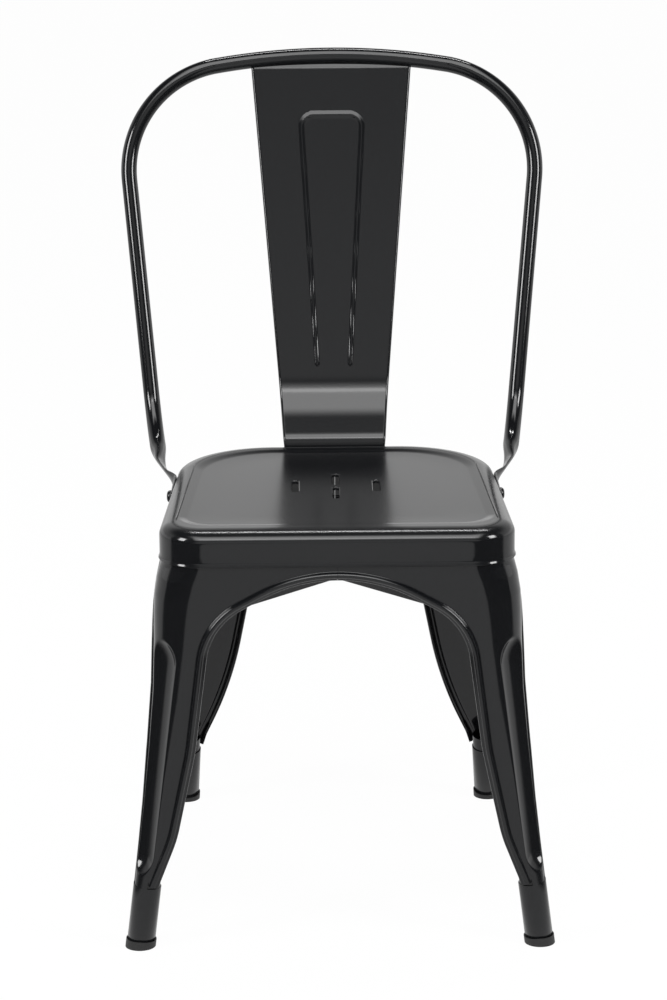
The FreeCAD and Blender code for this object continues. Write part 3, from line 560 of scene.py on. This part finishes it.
def seat_ring(outline, inset, z, rounding=1.0, arc=24, straight=20):
    """An outline drawn in by an inset, with the same number of points whatever its size."""
    front, rear, near, far, front_radius, rear_radius = outline
    corners = np.array([(inset - front, near + inset), (front - inset, near + inset),
                        (rear - inset, far - inset), (inset - rear, far - inset)], float)
    radii = np.array([front_radius, front_radius, rear_radius, rear_radius]) - inset * rounding
    arcs = [round_corner(corners[i - 1], corners[i], corners[(i + 1) % 4], radii[i], count=arc) for i in range(4)]
    ring = []
    for points, following in zip(arcs, arcs[1:] + arcs[:1]):
        ring += points
        run = following[0] - points[-1]
        ring += [points[-1] + run * share for share in np.linspace(0, 1, straight + 2)[1:-1]]
    return np.column_stack([ring, np.full(len(ring), float(z))])


def seat_mesh():
    """The pan's upper side as rings, thickened downwards and slotted."""
    rings = [seat_ring(SEAT_OUTLINE, inset, z) for inset, z in SKIRT_LIP]
    rings += [seat_ring(SEAT_OUTLINE, 0, z) for z in SKIRT_LEVELS]
    for turn in np.linspace(0.06, math.pi / 2, 20):
        inset = ROLL_INSET * (1 - math.cos(turn)) ** 1.12
        rings.append(seat_ring(SEAT_OUTLINE, inset, ROLL_BOTTOM + ROLL_HEIGHT * math.sin(turn)))
    rim = seat_ring(SEAT_OUTLINE, ROLL_INSET, ROLL_BOTTOM + ROLL_HEIGHT)
    foot = seat_ring(DISH_OUTLINE, 1, DISH_EDGE, 0.5)
    rings += [rim + (foot - rim) * share for share in (0.25, 0.5, 0.75, 1)]
    for share in np.linspace(0, 1, 15)[1:]:
        level = DISH_EDGE - (DISH_EDGE - DISH_FLOOR) * smooth(share)
        rings.append(seat_ring(DISH_OUTLINE, 1 + DISH_SLOPE * share, level, 0.5))
    floor = rings[-1]
    rings += [SEAT_MIDDLE + (floor - SEAT_MIDDLE) * share for share in (0.8, 0.55, 0.3)]
    sheet = Sheet()
    sheet.add(np.array(rings), closed=True)
    sheet.cap(rings[-1])
    return slotted(thickened(sheet.mesh("seat_sheet"), GAUGE))


def slot_ring(place, z, grow):
    """A drain slot's round-ended outline at a height."""
    angle = np.linspace(0, 2 * math.pi, 33)[:-1]
    straight = SLOT_HALF_LENGTH - SLOT_HALF_WIDTH
    across = place[0] + (SLOT_HALF_WIDTH + grow) * np.cos(angle)
    along = place[1] + (SLOT_HALF_WIDTH + grow) * np.sin(angle) + np.where(np.sin(angle) > 0, straight, -straight)
    return np.column_stack([across, along, np.full(len(angle), float(z))])


def slotted(pan):
    """The pan with its four drain slots cut through, each with a lip that turns down."""
    holder = held("pan", pan)
    cutters = []
    lips = []
    for place in SLOT_PLACES:
        low, high = (slot_ring(place, z, 1.0) for z in SLOT_CUT)
        tool = Sheet()
        tool.add(np.array([low, high]), closed=True)
        tool.cap(high)
        tool.cap(low, flip=True)
        cutters.append(held("slot", tool.mesh("slot")))
        cut = holder.modifiers.new("slot", "BOOLEAN")
        cut.object = cutters[-1]
        cut.solver = "EXACT"
        lip = Sheet()
        lip.add(np.array([slot_ring(place, z, grow) for grow, z in SLOT_LIP]), flip=True, closed=True)
        lips.append(lip.mesh("lip"))
    return joined("seat_pan", applied(holder, *cutters), *lips)


finish_piece("seat_pan_painted", seat_mesh(), PAINT, ["seat_pan"], 40)


# Back: the leaning plane that the hoop and the splat share

LEAN = math.radians(15.11)
TOP_MIDDLE = np.array([0, 318.5, 843.9])
DOWN = np.array([0, -math.sin(LEAN), -math.cos(LEAN)])


# Back hoop: a round tube whose ends are pressed flat and run into round-ended tabs

HOOP_RADIUS = 8.6
# Half width, and distance down the leaning plane
HOOP_SHOULDER = (231.9, 29.14)
HOOP_BEND = (196.1, 410.08)
HOOP_PEAK_RISE = 11.755
HOOP_EASE = np.array([187.1, 140, 428.28])
HOOP_RADII = (60, 80, 115.95, 762, 115.95, 80, 60)
TAB_START = np.array([169.05, 82.07, 421.32])
TAB_FLOW = unit(np.array([0.0431, -1, -0.12]))
TAB_LENGTH = 50
TAB_HALF_HEIGHT = 10
TAB_HALF_GAUGE = 1.7
PRESS_TWIST = math.radians(32)
MIRRORED = (-1, 1, 1)


def hoop_line():
    """The hoop's middle line from the left tab's start to the right one, and the right limb's bend."""
    shoulder, bend = (TOP_MIDDLE + (half, 0, 0) + DOWN * down for half, down in (HOOP_SHOULDER, HOOP_BEND))
    peak = TOP_MIDDLE - DOWN * HOOP_PEAK_RISE
    half = [TAB_START, HOOP_EASE, bend, shoulder]
    return rounded_line([p * MIRRORED for p in half] + [peak] + half[::-1], HOOP_RADII, 3.0), bend


def pressed_reach(ray, along, centre, width, height, twist, power):
    """How far a pressed section reaches from its middle line in each direction around it."""
    outward = np.array([math.copysign(1, centre[0]), 0, 0])
    side = unit(outward - along * (outward @ along))
    up = np.cross(along, side)
    up *= math.copysign(1, up[2] + up[1] * 0.5)
    turned_up = up * math.cos(twist) + side * math.sin(twist)
    turned_side = side * math.cos(twist) - up * math.sin(twist)
    return (np.abs(ray @ turned_side / width) ** power + np.abs(ray @ turned_up / height) ** power) ** (-1 / power)


def hoop_mesh():
    """Rings along the middle line: round, then pressed flat from the bend to the round-ended tabs."""
    line, bend = hoop_line()
    travel = travelled(line)
    to_end = np.minimum(travel, travel[-1] - travel)
    pressed_length = travel[-1] - travel[np.argmin(np.linalg.norm(line - bend, axis=1))]
    round_end = TAB_HALF_HEIGHT * np.sin(np.linspace(0, math.pi / 2, 9)[1:] * 0.985)
    tip = np.concatenate([np.linspace(0, TAB_LENGTH, 8)[1:], TAB_LENGTH + round_end])
    right_tab = TAB_START + TAB_FLOW * tip[:, None]
    centres = np.vstack([(right_tab * MIRRORED)[::-1], line, right_tab])
    beyond = np.concatenate([tip[::-1], to_end * 0, tip])
    share = 1 - np.clip(np.concatenate([tip * 0, to_end, tip * 0]) / pressed_length, 0, 1)
    pressed = smooth((share - 0.24) / 0.36)
    height = HOOP_RADIUS + (TAB_HALF_HEIGHT - HOOP_RADIUS) * pressed
    past = np.maximum(beyond - TAB_LENGTH, 0) / TAB_HALF_HEIGHT
    height = height * np.sqrt(np.clip(1 - past ** 2, 0.0004, 1))
    width = HOOP_RADIUS + (TAB_HALF_GAUGE * (1.5 - share / 2) - HOOP_RADIUS) * pressed
    twist = PRESS_TWIST * pressed * (1 - smooth((share - 0.8) / 0.2))
    power = 2 / (1 - 0.4 * pressed)
    angle = np.linspace(0, 2 * math.pi, 65)[:-1]
    first = np.array([0, 0, 1.0])
    rings = []
    for i, (centre, along) in enumerate(zip(centres, directions(centres))):
        first = unit(first - along * (first @ along))
        ray = first * np.cos(angle)[:, None] + np.cross(along, first) * np.sin(angle)[:, None]
        reach = np.full(len(angle), HOOP_RADIUS)
        if pressed[i] > 0:
            reach = pressed_reach(ray, along, centre, width[i], height[i], twist[i], power[i])
        rings.append(centre + ray * reach[:, None])
    sheet = Sheet()
    sheet.add(np.array(rings), closed=True)
    sheet.cap(rings[-1])
    sheet.cap(rings[0], flip=True)
    return sheet.mesh("back_hoop")


finish_piece("back_hoop_painted", hoop_mesh(), PAINT, ["back_hoop"], 50)


# Back splat: a grid that follows the bent side view, with turned edges and a pressed inverted U

SPLAT_START = 6
SPLAT_GAUGE = 1.0
SPLAT_FOLD = (TOP_MIDDLE[2] - 481) / math.cos(LEAN)
# The foot's side view, as (y, z)
SPLAT_FOOT = ((183.8, 444), (183.8, 411))
SPLAT_RADII = (95, 14)
# Height and half width at the foot and at the top
SPLAT_LEVELS = ((409, 51.8), (TOP_MIDDLE[2] - SPLAT_START * math.cos(LEAN) + 4, 87.4))
# The turned edge's section: outwards, and forwards
SPLAT_EDGE = np.array([(0.6, -6.6), (0.9, -5.8), (1.0, -3.6), (0.95, -1.6), (0.65, -0.6), (0, 0)])
# The pressed U's corners: across, and down the splat
GROOVE = ((-18, -339), (-34, -65), (34, -65), (18, -339))
GROOVE_CORNER = 14
GROOVE_HEIGHT = 1.2
GROOVE_HALF_WIDTH = 2.6
CURL_LENGTH = 9
CURL_DEPTH = 2.0


def splat_mesh():
    """Rows of points across the splat, one for each step down its side view."""
    top = TOP_MIDDLE + DOWN * SPLAT_START
    fold = TOP_MIDDLE + DOWN * SPLAT_FOLD
    path = rounded_line([top[1:], fold[1:], *SPLAT_FOOT], SPLAT_RADII, 2.0)
    ahead = directions(path)
    front = np.stack([ahead[:, 1], -ahead[:, 0]], -1)
    front *= np.sign(-front[:1, :1])
    half = np.interp(path[:, 1], *np.array(SPLAT_LEVELS).T) - SPLAT_EDGE[:, 0].max()
    flat = np.linspace(-1, 1, 111)[1:-1]
    groove = rounded_line(GROOVE, [GROOVE_CORNER] * 2, 1.0)
    rows = []
    for (y, level), normal, half_width, travel in zip(path, front, half, travelled(path)):
        across = np.concatenate([-half_width - SPLAT_EDGE[:, 0], flat * half_width,
                                 half_width + SPLAT_EDGE[::-1, 0]])
        out = np.concatenate([SPLAT_EDGE[:, 1], flat * 0, SPLAT_EDGE[::-1, 1]]) + 0.6
        place = np.column_stack([across, np.full(len(across), -travel - SPLAT_START)])
        gap = np.min(np.linalg.norm(place[:, None] - groove[None], axis=2), axis=1)
        out = out + GROOVE_HEIGHT * np.cos(np.clip(gap / GROOVE_HALF_WIDTH, 0, 1) * math.pi / 2) ** 2
        out = out - CURL_DEPTH * (max(0, CURL_LENGTH - travel) / CURL_LENGTH) ** 2
        rows.append(np.column_stack([across, y + normal[0] * out, level + normal[1] * out]))
    sheet = Sheet()
    sheet.add(np.array(rows))
    return thickened(sheet.mesh("back_splat"), SPLAT_GAUGE)


finish_piece("back_splat_painted", splat_mesh(), PAINT, ["back_splat"], 50)


# Camera: the photograph's own view, found by fitting the chair's edges

CAMERA_PLACE = Vector((-0.0192, -3.2726, 1.2698))
CAMERA_YAW = 0.0052
CAMERA_PITCH = 0.2585
CAMERA_ROLL = -0.0077
FOCAL_PIXELS = 3201.2
IMAGE_HEIGHT = 1000
SENSOR = 36


def photo_camera():
    """A camera in front of the chair, a little above it, that looks down and is barely rolled."""
    data = bpy.data.cameras.new("photo_camera")
    data.sensor_width = SENSOR
    data.lens = FOCAL_PIXELS / IMAGE_HEIGHT * SENSOR
    camera = bpy.data.objects.new("photo_camera", data)
    bpy.context.scene.collection.objects.link(camera)
    ahead = Vector((math.sin(CAMERA_YAW) * math.cos(CAMERA_PITCH),
                    math.cos(CAMERA_YAW) * math.cos(CAMERA_PITCH), -math.sin(CAMERA_PITCH)))
    level = Vector((math.cos(CAMERA_YAW), -math.sin(CAMERA_YAW), 0))
    upright = level.cross(ahead)
    right = level * math.cos(CAMERA_ROLL) + upright * math.sin(CAMERA_ROLL)
    up = upright * math.cos(CAMERA_ROLL) - level * math.sin(CAMERA_ROLL)
    turn = Matrix((right, up, -ahead)).transposed().to_4x4()
    camera.matrix_world = Matrix.Translation(CAMERA_PLACE) @ turn
    bpy.context.scene.camera = camera


# Studio: a white sweep, a dark ceiling, boxes in front and at the sides and a strip above and behind

FLOOR_REACH = 30
FLOOR_SHOWN = 0.965


def white_stage():
    """The floor shows as white to the camera; in the paint's reflections it glows with a painted pool of light,
    brightest in a strip down the middle and behind the chair, and it keeps a part of the shadow.
    """
    mesh = bpy.data.meshes.new("floor")
    corners = [(x * FLOOR_REACH, y * FLOOR_REACH, 0) for x, y in ((-1, -1), (1, -1), (1, 1), (-1, 1))]
    mesh.from_pydata(corners, [], [(0, 1, 2, 3)])
    floor = bpy.data.objects.new("floor", mesh)
    bpy.context.scene.collection.objects.link(floor)
    surface = Surface(bpy.data.materials.new("floor_white"))
    surface.tree.nodes.clear()
    camera_ray, glossy_ray, clear_ray = (surface.node("ShaderNodeLightPath", f"Is {kind} Ray")
                                         for kind in ("Camera", "Glossy", "Transmission"))
    seen = camera_ray.math("MAXIMUM", glossy_ray).math("MAXIMUM", clear_ray)
    across, along, _ = surface.axes("Object")
    # Painted light: in reflections the floor glows brightly in a strip down the middle and behind the chair, and only
    # faintly at the sides in front
    middle = 1 - across.math("ABSOLUTE").step(0.34, 0.46)
    painted_floor_light = middle.math("MAXIMUM", along.step(-0.3, 0.0)) * 0.68 + 0.03
    glow = surface.node("ShaderNodeEmission", 0, {"Color": (1, 1, 1, 1), "Strength": painted_floor_light.math("MAXIMUM", camera_ray)})
    chalk = surface.node("ShaderNodeBsdfDiffuse", 0, {"Color": (0.8, 0.8, 0.8, 1)})
    surface.finish("ShaderNodeOutputMaterial",
                   surface.node("ShaderNodeMixShader", 0, (seen * FLOOR_SHOWN, chalk, glow)))
    mesh.materials.append(surface.owner)


def studio_world():
    """White behind, darker in front and at the sides, dark overhead, and a wide box high in front."""
    world = bpy.data.worlds.new("studio")
    bpy.context.scene.world = world
    surface = Surface(world)
    surface.tree.nodes.clear()
    across, along, up = surface.axes("Generated")
    forward = along * -1
    behind = along.step(-0.05, 0.15) * (1 - up.step(0.12, 0.32) * 0.4)
    front = forward.step(0.86, 0.97) * 0.6
    low = 1 - up.step(0.45, 0.75)
    box = up.step(0.42, 0.66) * (1 - up.step(0.88, 0.99)) * (1 - across.math("ABSOLUTE").step(0.25, 0.45))
    box = box * forward.step(0.05, 0.2) * 4.5
    level = (behind + front + 0.06).math("MINIMUM", 1.0) * low + 0.03 + box
    strength = level.math("MAXIMUM", surface.node("ShaderNodeLightPath", "Is Camera Ray"))
    surface.finish("ShaderNodeOutputWorld",
                   surface.node("ShaderNodeBackground", 0, {"Color": (1, 1, 1, 1), "Strength": strength}))


LAMP_AIM = Vector((0, 0, 0.45))


def soft_box(name, azimuth, elevation, distance, width, height, radiance):
    """A rectangular lamp that faces the chair's middle. Azimuth 0 is in front of the chair."""
    turn = math.radians(azimuth)
    rise = math.radians(elevation)
    place = LAMP_AIM + distance * Vector((math.sin(turn) * math.cos(rise), -math.cos(turn) * math.cos(rise),
                                          math.sin(rise)))
    data = bpy.data.lights.new(name, "AREA")
    data.shape = "RECTANGLE"
    data.size = width
    data.size_y = height
    data.energy = radiance * math.pi * width * height
    lamp = bpy.data.objects.new(name, data)
    lamp.location = place
    lamp.rotation_euler = (LAMP_AIM - place).to_track_quat("-Z", "Y").to_euler()
    bpy.context.scene.collection.objects.link(lamp)


photo_camera()
white_stage()
studio_world()
soft_box("top_strip", 172, 67, 2.6, 1.7, 0.14, 30)
soft_box("front_box", 0, 40, 3.0, 1.3, 0.25, 4)
soft_box("side_box_left", -58, 24, 3.0, 0.8, 1.2, 15)
soft_box("side_box_right", 58, 24, 3.0, 0.8, 1.2, 15)
bpy.context.scene.view_settings.view_transform = "Standard"
